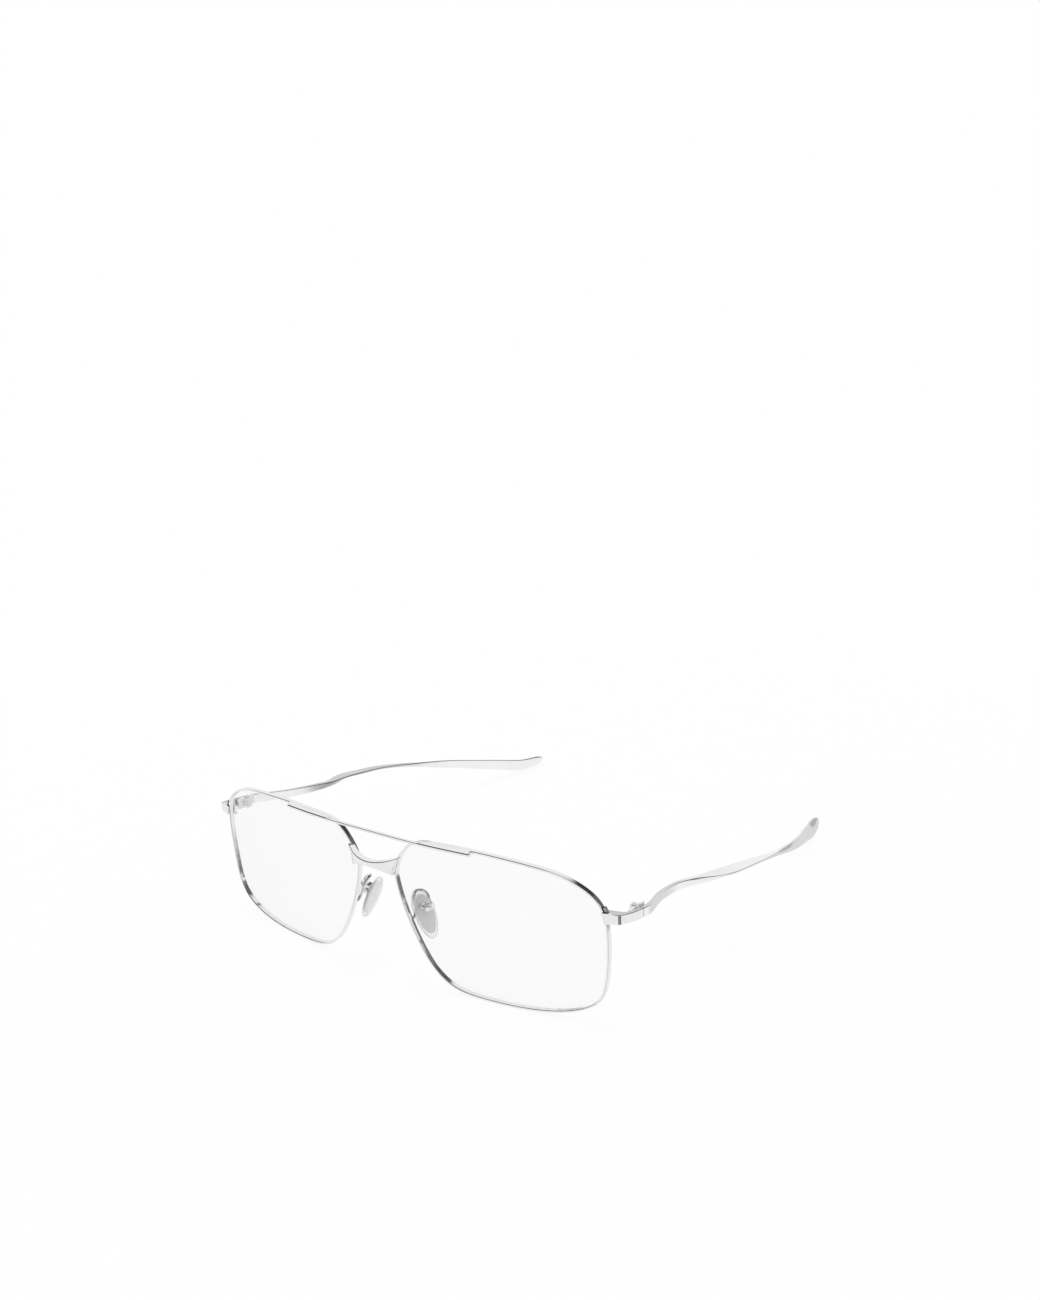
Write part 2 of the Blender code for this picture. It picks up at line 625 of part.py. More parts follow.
def make_pad(side, tag, look, metal, screw_look, parent):
    """Silicone pad on a boss that rocks on a screw inside the box at the end of the arm."""
    middle, turn = pad_frame(side)
    out = side
    box_far = PAD_THICKNESS / 2 + BOX_GAP + BOX_HEIGHT
    pivot_out = box_far - BOX_WALL - 0.60 * MM
    pivot = middle + turn @ Vector((out * pivot_out, 0, BOX_ABOVE))

    rings = []
    count = 28
    layers = ((0.0, 0.86), (0.18, 0.97), (0.45, 1.0), (0.75, 0.90), (0.93, 0.66), (1.0, 0.38))
    for share, size in layers:
        ring = []
        for k in range(count):
            angle = 2 * pi * k / count
            wide = PAD_HALF_WIDTH * (1 + 0.12 * cos(angle))
            up = size * PAD_HALF_LENGTH * cos(angle) - BOX_ABOVE
            across = size * wide * sin(angle)
            depth = PAD_THICKNESS * (0.5 - share) - pivot_out
            ring.append(Vector((out * depth, across, up)))
        rings.append(ring)
    pad = make_object(tag + "_nose_pad", loft(rings), look, pivot, parent, turn, smooth=40)

    boss_width = BOX_WIDTH - 2 * BOX_WALL - 4 * RUN
    boss_far = 0.45 * MM
    boss_limits = sorted((out * boss_far, out * (PAD_THICKNESS / 2 - 0.4 * MM - pivot_out)))
    boss = make_object(tag + "_pad_boss", block(boss_limits, (-boss_width / 2, boss_width / 2),
                                                (-0.60 * MM, 0.60 * MM)), None, pivot, parent, turn)
    boolean(pad, boss, "UNION")
    hole = make_object(tag + "_pad_hole", rod(PAD_SCREW + 2 * RUN, (0, -BOX_WIDTH, 0), (0, BOX_WIDTH, 0), 16),
                       None, pivot, parent, turn)
    boolean(pad, hole)

    near = PAD_THICKNESS / 2 + BOX_GAP - pivot_out
    far = box_far - pivot_out
    box = make_object(tag + "_pad_box", block(sorted((out * near, out * far)),
                                              (-BOX_WIDTH / 2, BOX_WIDTH / 2),
                                              (-BOX_LENGTH / 2, BOX_LENGTH / 2)), metal, pivot, parent, turn)
    stub = make_object(tag + "_pad_stub", rod(STUB, (out * (far - BOX_WALL / 2), 0, 0),
                                              (out * (far + STUB_LENGTH), 0, 0)), None, pivot, parent, turn)
    boolean(box, stub, "UNION")
    inside = BOX_WIDTH / 2 - BOX_WALL
    channel = make_object(tag + "_pad_channel", block(sorted((out * (near - 1 * MM), out * (far - BOX_WALL))),
                                                      (-inside, inside), (-BOX_LENGTH, BOX_LENGTH)),
                          None, pivot, parent, turn)
    boolean(box, channel)
    boolean(box, hole)

    reach = BOX_WIDTH / 2 + RUN
    head = rod(PAD_SCREW_HEAD, (0, -reach - PAD_SCREW_HEAD_HEIGHT, 0), (0, -reach, 0), 16)
    shank = rod(PAD_SCREW, (0, -reach - RUN, 0), (0, BOX_WIDTH / 2, 0), 16)
    screw = make_object(tag + "_pad_screw", head, screw_look, pivot, parent, turn, smooth=30)
    boolean(screw, make_object(tag + "_pad_screw_shank", shank, None, pivot, parent, turn), "UNION")

    landing = pivot + turn @ Vector((out * (far + STUB_LENGTH / 2), 0, STUB / 2 + SEAT))
    up = turn @ Vector((0, 0, 1))
    line, slope = closed_spline(OUTLINE, [rim_place(RIM_HALF_HEIGHT - WIRE_BELOW, False)])
    foot_x = LENS_CENTRE + RIM_HALF_WIDTH * line[0][0] + RIM_WIDTH / 2
    foot_z = RIM_HALF_HEIGHT - WIRE_BELOW
    foot = Vector((side * foot_x, face_y(foot_x, foot_z) + RIM_DEPTH + SEAT, foot_z))
    rising = [(0, 0, 0), (0, 0.7, 0.15), (-0.15, 1.4, 1.0), (-0.55, 1.75, 2.6), (-1.03, 2.15, 4.1),
              (-1.5, 3.3, 5.4), (-1.23, 4.6, 5.8)]
    falling = [(-2.15, 0.4, 2.6), (-0.95, 0.4, 1.75)]
    route = [foot + Vector((side * x, y, z)) * MM for x, y, z in rising]
    route += [landing + Vector((side * x, y, z)) * MM for x, y, z in falling]
    route += [landing + up * 0.85 * MM, landing]
    wire = [Vector(point) for point in open_spline([tuple(p) for p in route], 34)]
    make_object(tag + "_pad_arm", tube(wire, WIRE), metal, parent=parent, smooth=40)


def build():
    clear_scene()
    steel = material("polished_metal", (0.86, 0.87, 0.88), 0.12, 1.0)
    screw_steel = material("screw_metal", (0.62, 0.62, 0.63), 0.25, 1.0)
    clear = material("clear_lens", (0.97, 0.98, 0.98), 0.03, 0.0, 1.0, 1.0)
    silicone = material("clear_silicone", (0.86, 0.87, 0.87), 0.35, 0.0, 1.0, 0.6)

    hinge_x, hinge_y, hinge_z, seam_y = hinge_place()
    front_y = -BRIDGE_PROUD - BRIDGE_BOW
    tip_y = seam_y + SEAM + TEMPLE_LENGTH
    stand = bpy.data.objects.new("stand", None)
    stand.location = (0, -(front_y + tip_y) / 2, 0)
    bpy.context.scene.collection.objects.link(stand)

    seats = [seat_cutter("seat_%s" % tag, side, stand) for side, tag in ((1, "left"), (-1, "right"))]
    openings = [opening_cutter("opening_%s" % tag, side, stand) for side, tag in ((1, "left"), (-1, "right"))]
    make_bar("brow_bar", steel, stand)
    make_bridge("bridge", steel, stand, seats + openings)
    for side, tag, seat, opening in ((1, "left", seats[0], openings[0]), (-1, "right", seats[1], openings[1])):
        make_rim(tag + "_rim", side, steel, stand)
        make_lens(tag + "_lens", side, clear, stand)
        pocket = lock_pocket(tag + "_lock_pocket", side, stand)
        make_end_piece(tag + "_end_piece", side, steel, stand, [seat, opening, pocket])
        make_lock(side, tag, steel, screw_steel, stand)
        pivot = bpy.data.objects.new(tag + "_temple_axis", None)
        pivot.location = (side * hinge_x, hinge_y, hinge_z)
        pivot.parent = stand
        bpy.context.scene.collection.objects.link(pivot)
        make_hinge(side, tag, steel, screw_steel, stand, pivot)
        make_temple(tag + "_temple", side, steel, pivot)
        make_pad(side, tag, silicone, steel, screw_steel, stand)


build()
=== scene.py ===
# Looks of metal eyeglasses with a brow bar and a saddle bridge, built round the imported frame.
# Metres, +Z up. The wearer's left is +X and the front looks along -Y.

from math import cos, pi, radians, sin, tan

import bmesh
import bpy
import numpy as np
from mathutils import Matrix, Vector


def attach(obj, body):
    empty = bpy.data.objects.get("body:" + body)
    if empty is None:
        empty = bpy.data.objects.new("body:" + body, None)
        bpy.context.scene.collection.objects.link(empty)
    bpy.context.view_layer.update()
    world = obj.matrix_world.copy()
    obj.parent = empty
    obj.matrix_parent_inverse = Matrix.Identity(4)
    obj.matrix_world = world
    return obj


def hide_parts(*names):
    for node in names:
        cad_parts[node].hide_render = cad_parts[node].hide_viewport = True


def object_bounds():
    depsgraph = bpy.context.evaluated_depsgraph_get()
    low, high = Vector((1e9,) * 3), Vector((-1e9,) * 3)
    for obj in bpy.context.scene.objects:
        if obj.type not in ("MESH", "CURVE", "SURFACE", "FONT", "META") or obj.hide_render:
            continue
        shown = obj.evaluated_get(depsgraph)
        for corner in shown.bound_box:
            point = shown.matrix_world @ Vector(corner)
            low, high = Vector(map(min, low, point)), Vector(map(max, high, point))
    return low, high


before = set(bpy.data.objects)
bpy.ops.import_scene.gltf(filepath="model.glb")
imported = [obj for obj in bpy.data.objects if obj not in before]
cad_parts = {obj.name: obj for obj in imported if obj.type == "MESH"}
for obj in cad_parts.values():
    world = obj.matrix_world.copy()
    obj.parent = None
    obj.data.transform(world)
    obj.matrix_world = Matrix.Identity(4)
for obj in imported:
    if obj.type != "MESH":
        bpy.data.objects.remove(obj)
cad_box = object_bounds()

MM = 0.001

# Sizes of the frame, the same as in its solids, except for the temples' thin flat middle
STAND_BACK = 71.3841 * MM
SEAT = 0.08 * MM
LENS_WIDTH = 58.8 * MM
LENS_HEIGHT = 41.2 * MM
LENS_DISTANCE = 13.4 * MM
LENS_THICKNESS = 1.1 * MM
LENS_RECESS = 0.25 * MM
RIM_WIDTH = 0.61 * MM
RIM_DEPTH = 1.5 * MM
RIM_SPLIT = 0.12 * MM
SPLIT_STEP = 0.47
FACE_RADIUS = 188 * MM
FACE_FLAT = 6.8 * MM
FRONT_LEAN = radians(0.5)
# Outer line of a rim as shares of its half width and half height, from the nose over the top
OUTLINE = [
    (-0.916, -0.036), (-0.992, 0.347), (-0.977, 0.585), (-0.792, 0.917), (-0.478, 0.991), (-0.10, 0.995),
    (0.385, 0.938), (0.677, 0.838), (0.929, 0.574), (0.999, 0.137), (0.992, -0.231), (0.955, -0.586),
    (0.826, -0.824), (0.547, -0.956), (0.196, -1.0), (-0.142, -0.994), (-0.438, -0.933), (-0.702, -0.635),
]
BAR_HALF = 31.0 * MM
BAR_HEIGHT = 0.65 * MM
BAR_DEPTH = 0.90 * MM
BAR_DROP = 1.30 * MM
STRAP_HEIGHT = 2.65 * MM
STRAP_WIDTH = 1.3 * MM
END_AT = 0.4720
END_SIDE = 9.2 * MM
SIDE_DROP = radians(9.9)
HINGE = Vector((67.48, 18.3682, 28.4905)) * MM
SEAM_Y = 18.7182 * MM
SEAM = 0.10 * MM
TEMPLE_LENGTH = 127.5 * MM
# Share of the length; inwards in mm; share of the drop to the table; width and height in mm; tilt in degrees
TEMPLE_FORM = [
    (0.000, 0.0, 0.000, 1.30, 2.65, 0), (0.022, 0.1, 0.016, 1.25, 2.65, 0),
    (0.047, 0.8, 0.033, 1.15, 2.60, 0), (0.086, 2.4, 0.059, 1.10, 2.50, 0),
    (0.118, 3.3, 0.081, 1.10, 2.40, 0), (0.165, 3.97, 0.114, 1.20, 2.30, 0),
    (0.212, 3.88, 0.150, 1.45, 2.10, -2), (0.260, 2.85, 0.187, 2.40, 1.75, -4),
    (0.305, 1.25, 0.192, 3.90, 0.75, -5), (0.350, 0.45, 0.225, 4.30, 0.68, -5),
    (0.405, 0.15, 0.270, 3.80, 0.68, -4), (0.465, 0.05, 0.324, 2.90, 0.74, -2),
    (0.530, 0.55, 0.404, 2.00, 1.00, 0), (0.590, 1.5, 0.493, 1.55, 1.60, 0),
    (0.660, 3.0, 0.602, 1.30, 2.45, 2), (0.720, 4.8, 0.691, 1.25, 2.95, 6),
    (0.785, 7.2, 0.790, 1.20, 3.40, 12), (0.850, 10.0, 0.889, 1.20, 3.95, 17),
    (0.905, 12.2, 0.971, 1.20, 4.30, 20), (0.942, 13.5, 1.000, 1.15, 4.30, 21),
    (0.970, 14.3, 0.997, 1.05, 3.80, 21), (0.990, 14.9, 0.984, 0.85, 2.75, 20),
    (1.000, 15.1, 0.962, 0.55, 1.50, 20),
]
STRAP_ROUND = 0.24 * MM
TIP_ROUND = 0.40 * MM
PAD_HALF_LENGTH = 7.0 * MM
PAD_HALF_WIDTH = 3.3 * MM
PAD_THICKNESS = 2.2 * MM
PAD_BELOW = 4.3 * MM
PAD_OUT = 2.45 * MM
PAD_BEHIND = 7.0 * MM
PAD_LEAN = radians(24)
PAD_SPLAY = radians(8)
BOX_HEIGHT = 1.5 * MM
BOX_WIDTH = 2.6 * MM
BOX_WALL = 0.40 * MM
BOX_ABOVE = 2.0 * MM
BOX_GAP = 0.40 * MM
STUB = 1.3 * MM
STUB_LENGTH = 2.0 * MM
BOSS = 0.60 * MM
RUN = 0.06 * MM
LOCK_WIDTH = 0.75 * MM
LOCK_FRONT = 0.10 * MM
LOCK_DEPTH = 1.0 * MM
LOCK_ABOVE = 1.1 * MM
LOCK_INSET = 0.45 * MM
LOCK_SCREW = 0.40 * MM
LOCK_SCREW_LENGTH = 2.2 * MM
LOCK_HEAD = 0.65 * MM
LOCK_HEAD_HEIGHT = 0.20 * MM
BARREL = 2.3 * MM
BARREL_HEIGHT = 2.9 * MM
PIN = 0.9 * MM
SCREW_HEAD = 1.6 * MM
SCREW_HEAD_HEIGHT = 0.25 * MM
PAD_SCREW = 0.70 * MM
PAD_SCREW_HEAD = 1.2 * MM
PAD_SCREW_HEAD_HEIGHT = 0.30 * MM
WIRE = 0.85 * MM
WIRE_BELOW = 3.0 * MM

# Broken edges of the pieces, and the angle in degrees above which an edge counts as one
RIM_EDGE = 0.20 * MM
BAR_EDGE = 0.17 * MM
PLATE_EDGE = 0.20 * MM
LOCK_EDGE = 0.14 * MM
BOX_EDGE = 0.09 * MM
SMALL_EDGE = 0.06 * MM
BRIDGE_EDGE = 0.07 * MM
EDGE_ANGLE = 32
FLAT_ANGLE = radians(9)

# When a solid is copied: corners nearer than this are one, and faces flatter than this are one
WELD = 0.5e-6
LEVEL_ANGLE = radians(0.8)

# Depth of the lens edge in the rim's groove
LENS_GRIP = 0.10 * MM

# Solder in the step above the bar: how far it sinks into the bar, how far it stays below the rim's top,
# and the lowest step that is filled
SOLDER_SINK = 0.1 * MM
SOLDER_BELOW = 0.01 * MM
SOLDER_LEAST = 0.02 * MM

# Temples: rounder edges at the twist, two cross marks, and the ridge along the leaf, given as a share of
# the length and how far the flank above the ridge leans in, in millimetres
TWIST_ROUND = 0.30 * MM
TWIST_AT = 0.265
TWIST_REACH = 0.05
ROUND_FROM = 0.12
ROUND_OVER = 0.5
TICK_PLACES = (41.5 * MM, 44.7 * MM)
TICK_HALF = 0.15 * MM
TICK_DEPTH = 0.06 * MM
TICK_FORM = ((-1.5, 0), (-1, 0), (-0.35, 1), (0.35, 1), (1, 0), (1.5, 0))
TICK_CLEAR = 0.004
RIDGE = [
    (0.0, 0.0), (0.55, 0.0), (0.60, 0.60), (0.66, 0.65), (0.72, 0.55), (0.785, 0.42), (0.85, 0.35),
    (0.94, 0.30), (0.97, 0.25), (1.0, 0.12),
]
RIDGE_AT = 0.42

# Pads: section as shares of the thickness and of the outline, egg shape, and the insert's lip
PAD_FORM = [
    (0.0, 0.60), (0.0, 0.80), (0.05, 0.905), (0.18, 0.97), (0.42, 1.0), (0.62, 0.965), (0.80, 0.85),
    (0.93, 0.65), (1.0, 0.38), (1.015, 0.15),
]
PAD_STEPS = 96
PAD_EGG = 0.12
INSERT_LIP = 0.12 * MM
POST_GAP = 0.12 * MM

# Bends of the wire arm in millimetres: rising from its foot on the rim, then falling to its landing
ARM_RISING = [
    (0, 0, 0), (0, 0.7, 0.15), (-0.15, 1.4, 1.0), (-0.55, 1.75, 2.6), (-1.03, 2.15, 4.1),
    (-1.5, 3.3, 5.4), (-1.23, 4.6, 5.8),
]
ARM_FALLING = [(-2.15, 0.4, 2.6), (-0.95, 0.4, 1.75)]

# Worked out from the sizes above
RIM_HALF_WIDTH = LENS_WIDTH / 2 + RIM_WIDTH
RIM_HALF_HEIGHT = LENS_HEIGHT / 2 + RIM_WIDTH
LENS_CENTRE = LENS_DISTANCE / 2 + LENS_WIDTH / 2
RIM_TOP = 2 * RIM_HALF_HEIGHT
END_TOP = RIM_HALF_HEIGHT * (1 + END_AT)
END_CORNER_Y = SEAM_Y - END_SIDE
STRAP_SHIFT = SEAT + BARREL / 2 + STRAP_WIDTH / 2
BOX_FAR = PAD_THICKNESS / 2 + BOX_GAP + BOX_HEIGHT
STAND = Vector((0, -STAND_BACK, 0))
SIDES = (("left", 1), ("right", -1))


# Curves of the frame

def face_y(x, z):
    """How far back the curved and leaning face of the front stands."""
    away = max(0.0, abs(x) - FACE_FLAT)
    return away * away / (2 * FACE_RADIUS) - (z - RIM_HALF_HEIGHT) * tan(FRONT_LEAN)


def face_normal(x, z):
    """Direction straight back through the face."""
    away = max(0.0, abs(x) - FACE_FLAT)
    slope = away / FACE_RADIUS * (1 if x >= 0 else -1)
    return Vector((-slope, 1, tan(FRONT_LEAN))).normalized()


def closed_spline(points, places):
    """Smooth closed curve through the points, read at places counted in points; also its slope."""
    p = np.array(points, float)
    n = len(p)
    system = 4 * np.eye(n) + np.roll(np.eye(n), 1, axis=1) + np.roll(np.eye(n), -1, axis=1)
    bend = np.linalg.solve(system, 6 * (np.roll(p, -1, axis=0) - 2 * p + np.roll(p, 1, axis=0)))
    i = np.floor(places).astype(int) % n
    j = (i + 1) % n
    t = (places - np.floor(places))[:, None]
    s = 1 - t
    line = s * p[i] + t * p[j] + ((s ** 3 - s) * bend[i] + (t ** 3 - t) * bend[j]) / 6
    slope = p[j] - p[i] + ((1 - 3 * s * s) * bend[i] + (3 * t * t - 1) * bend[j]) / 6
    return line, slope


def open_spline(points, places):
    """Smooth open curve through the points, read at places counted in points."""
    p = np.array(points, float)
    n = len(p)
    system = np.eye(n)
    right = np.zeros_like(p)
    for i in range(1, n - 1):
        system[i, i - 1:i + 2] = (1, 4, 1)
        right[i] = 6 * (p[i + 1] - 2 * p[i] + p[i - 1])
    bend = np.linalg.solve(system, right)
    i = np.minimum(places.astype(int), n - 2)
    t = (places - i)[:, None]
    s = 1 - t
    return s * p[i] + t * p[i + 1] + ((s ** 3 - s) * bend[i] + (t ** 3 - t) * bend[i + 1]) / 6


def rim_place(z, temple_side=True):
    """Where the rim's outer line passes a height, on its temple side or its nose side."""
    fine = np.linspace(7, 11, 801) if temple_side else np.linspace(16, 19, 601)
    heights = closed_spline(OUTLINE, fine)[0][:, 1] * RIM_HALF_HEIGHT + RIM_HALF_HEIGHT
    return fine[int(np.argmin(np.abs(heights - z)))]


def rim_points(side, places, out, depth):
    """Points round a rim, out from its outer edge and back from its front face, with their directions."""
    size = np.array((RIM_HALF_WIDTH, RIM_HALF_HEIGHT))
    line, slope = closed_spline(OUTLINE, places)
    line, slope = line * size, slope * size
    outward = np.c_[-slope[:, 1], slope[:, 0]]
    outward /= np.hypot(outward[:, 0], outward[:, 1])[:, None]
    points, directions = [], []
    for (px, pz), (ox, oz) in zip(line, outward):
        x = side * (LENS_CENTRE + px + out * ox)
        z = RIM_HALF_HEIGHT + pz + out * oz
        points.append(Vector((x, face_y(x, z), z)) + depth * face_normal(x, z))
        directions.append(Vector((side * ox, 0, oz)))
    return points, directions


# Making meshes

def finish_mesh(name, bm, sharp=None):
    """Object at the origin from a bmesh given in the stand's place."""
    bmesh.ops.recalc_face_normals(bm, faces=bm.faces)
    mesh = bpy.data.meshes.new(name)
    bm.to_mesh(mesh)
    bm.free()
    mesh.transform(Matrix.Translation(STAND))
    mesh.shade_smooth()
    if sharp is not None:
        mesh.set_sharp_from_angle(angle=radians(sharp))
    made = bpy.data.objects.new(name, mesh)
    bpy.context.scene.collection.objects.link(made)
    return made


def loft(rings, caps="faces"):
    """Skin through rings of points, closed at both ends by a face, or by a fan to a pole."""
    bm = bmesh.new()
    loops = [[bm.verts.new(point) for point in ring] for ring in rings]
    count = len(loops[0])
    for one, two in zip(loops, loops[1:]):
        for i in range(count):
            j = (i + 1) % count
            bm.faces.new((one[i], one[j], two[j], two[i]))
    for loop in (loops[0], loops[-1]):
        if caps == "faces":
            bm.faces.new(loop)
        else:
            pole = bm.verts.new(sum((v.co for v in loop), Vector()) / count)
            for i in range(count):
                bm.faces.new((loop[i], loop[(i + 1) % count], pole))
    return bm


def settle(made):
    """Apply what modifies an object, and leave a plain mesh at the origin."""
    bpy.context.view_layer.update()
    ready = made.evaluated_get(bpy.context.evaluated_depsgraph_get())
    mesh = bpy.data.meshes.new_from_object(ready, preserve_all_data_layers=True,
                                           depsgraph=bpy.context.evaluated_depsgraph_get())
    mesh.name = made.name
    made.modifiers.clear()
    made.data = mesh
    return made


def edged_copy(node, width):
    """Copy of a solid with its edges broken."""
    bm = bmesh.new()
    bm.from_mesh(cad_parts[node].data)
    bmesh.ops.remove_doubles(bm, verts=bm.verts, dist=WELD)
    bmesh.ops.dissolve_limit(bm, angle_limit=LEVEL_ANGLE, verts=bm.verts, edges=bm.edges)
    mesh = bpy.data.meshes.new(node + "_polished")
    bm.to_mesh(mesh)
    bm.free()
    made = bpy.data.objects.new(mesh.name, mesh)
    bpy.context.scene.collection.objects.link(made)
    bevel = made.modifiers.new("Broken edges", "BEVEL")
    bevel.width = width
    bevel.segments = 3
    bevel.limit_method = "ANGLE"
    bevel.angle_limit = radians(EDGE_ANGLE)
    bevel.use_clamp_overlap = False
    bevel.harden_normals = True
    mesh.shade_smooth()
    mesh.set_sharp_from_angle(angle=radians(EDGE_ANGLE))
    return settle(made)


# Geometry Nodes trees

class Tree:
    """A node group and the modifier inputs that it offers."""

    def __init__(self, name):
        self.group = bpy.data.node_groups.new(name, "GeometryNodeTree")
        self.group.interface.new_socket("Geometry", in_out="INPUT", socket_type="NodeSocketGeometry")
        self.group.interface.new_socket("Geometry", in_out="OUTPUT", socket_type="NodeSocketGeometry")
        self.start = self.group.nodes.new("NodeGroupInput")
        self.end = self.group.nodes.new("NodeGroupOutput")
        self.names = {}

    def size(self, name, kind="NodeSocketFloat"):
        """A named input of the tree."""
        self.names[name] = self.group.interface.new_socket(name, in_out="INPUT", socket_type=kind).identifier
        return self.start.outputs[name]

    def add(self, kind, sockets=None, output=0, **settings):
        node = self.group.nodes.new(kind)
        for key, value in settings.items():
            setattr(node, key, value)
        for key, value in (sockets or {}).items():
            if isinstance(value, bpy.types.NodeSocket):
                self.group.links.new(value, node.inputs[key])
            else:
                node.inputs[key].default_value = value
        return node.outputs[output]

    def close(self, shape):
        """Realize what the tree made, give it its material and hand it out."""
        look = self.size("Material", "NodeSocketMaterial")
        plain = self.add("GeometryNodeRealizeInstances", {"Geometry": shape})
        dressed = self.add("GeometryNodeSetMaterial", {"Geometry": plain, "Material": look})
        self.group.links.new(dressed, self.end.inputs["Geometry"])
        return self

    def run(self, name, mesh, values):
        """Plain mesh object that the tree makes from a mesh and its inputs."""
        made = bpy.data.objects.new(name, mesh)
        bpy.context.scene.collection.objects.link(made)
        modifier = made.modifiers.new("Make", "NODES")
        modifier.node_group = self.group
        for key, value in values.items():
            modifier[self.names[key]] = value
        return settle(made)


def make_sweep_tree():
    """A bar of rounded-rectangle section along a line of edges, its width along the attribute 'out'."""
    tree = Tree("swept_bar")
    width, height = tree.size("Width"), tree.size("Height")
    radius = tree.size("Edge Radius")
    steps = tree.size("Edge Steps", "NodeSocketInt")
    out = tree.add("GeometryNodeInputNamedAttribute", {"Name": "out"}, data_type="FLOAT_VECTOR")
    line = tree.add("GeometryNodeMeshToCurve", {"Mesh": tree.start.outputs["Geometry"]})
    turned = tree.add("GeometryNodeSetCurveNormal", {"Curve": line, "Normal": out}, mode="FREE")
    box = tree.add("GeometryNodeCurvePrimitiveQuadrilateral", {"Width": width, "Height": height})
    section = tree.add("GeometryNodeFilletCurve", {"Curve": box, "Radius": radius, "Count": steps},
                       mode="POLY")
    bar = tree.add("GeometryNodeCurveToMesh", {
        "Curve": turned, "Profile Curve": section, "Fill Caps": True})
    smooth = tree.add("GeometryNodeSetShadeSmooth", {"Geometry": bar, "Shade Smooth": True})
    return tree.close(smooth)


def make_screw_tree():
    """A screw with a slotted head on its shank, at each point, its head towards the attribute 'out'."""
    tree = Tree("slotted_screw")
    head_radius, head_height = tree.size("Head Radius"), tree.size("Head Height")
    shank_radius, shank_length = tree.size("Shank Radius"), tree.size("Shank Length")

    def times(value, factor):
        return tree.add("ShaderNodeMath", {0: value, 1: factor}, operation="MULTIPLY")

    def up(value):
        return tree.add("ShaderNodeCombineXYZ", {"Z": value})

    head = tree.add("GeometryNodeMeshCone", {
        "Vertices": 40, "Radius Top": times(head_radius, 0.90), "Radius Bottom": head_radius,
        "Depth": head_height})
    size = tree.add("ShaderNodeCombineXYZ", {
        "X": times(head_radius, 0.34), "Y": times(head_radius, 3.0), "Z": head_height})
    slot = tree.add("GeometryNodeMeshCube", {"Size": size})
    slot = tree.add("GeometryNodeTransform", {
        "Geometry": slot, "Translation": up(times(head_height, 1.05))})
    cut = tree.add("GeometryNodeMeshBoolean", {"Mesh 1": head, "Mesh 2": slot}, operation="DIFFERENCE")
    shank = tree.add("GeometryNodeMeshCylinder", {
        "Vertices": 32, "Radius": shank_radius, "Depth": shank_length})
    shank = tree.add("GeometryNodeTransform", {
        "Geometry": shank, "Translation": up(times(shank_length, -0.5))})
    whole = tree.group.nodes.new("GeometryNodeJoinGeometry")
    tree.group.links.new(cut, whole.inputs[0])
    tree.group.links.new(shank, whole.inputs[0])
    out = tree.add("GeometryNodeInputNamedAttribute", {"Name": "out"}, data_type="FLOAT_VECTOR")
    turned = tree.add("FunctionNodeAlignRotationToVector", {"Vector": out}, axis="Z")
    placed = tree.add("GeometryNodeInstanceOnPoints", {
        "Points": tree.start.outputs["Geometry"], "Instance": whole.outputs[0], "Rotation": turned})
    return tree.close(placed)


def line_mesh(name, points, directions):
    """Line of edges with the direction 'out' at each point."""
    mesh = bpy.data.meshes.new(name)
    edges = [(i, i + 1) for i in range(len(points) - 1)]
    mesh.from_pydata([tuple(p + STAND) for p in points], edges, [])
    out = mesh.attributes.new("out", "FLOAT_VECTOR", "POINT")
    out.data.foreach_set("vector", [value for direction in directions for value in direction])
    return mesh


# Materials

class Value:
    """A shader socket whose sums and products add Math nodes."""

    def __init__(self, look, socket):
        self.look = look
        self.socket = socket

    def math(self, operation, first, second):
        return self.look.math(operation, first, second)

    def __add__(self, other):
        return self.math("ADD", self, other)

    def __radd__(self, other):
        return self.math("ADD", other, self)

    def __sub__(self, other):
        return self.math("SUBTRACT", self, other)

    def __rsub__(self, other):
        return self.math("SUBTRACT", other, self)

    def __mul__(self, other):
        return self.math("MULTIPLY", self, other)

    def __rmul__(self, other):
        return self.math("MULTIPLY", other, self)

    def __pow__(self, other):
        return self.math("POWER", self, other)


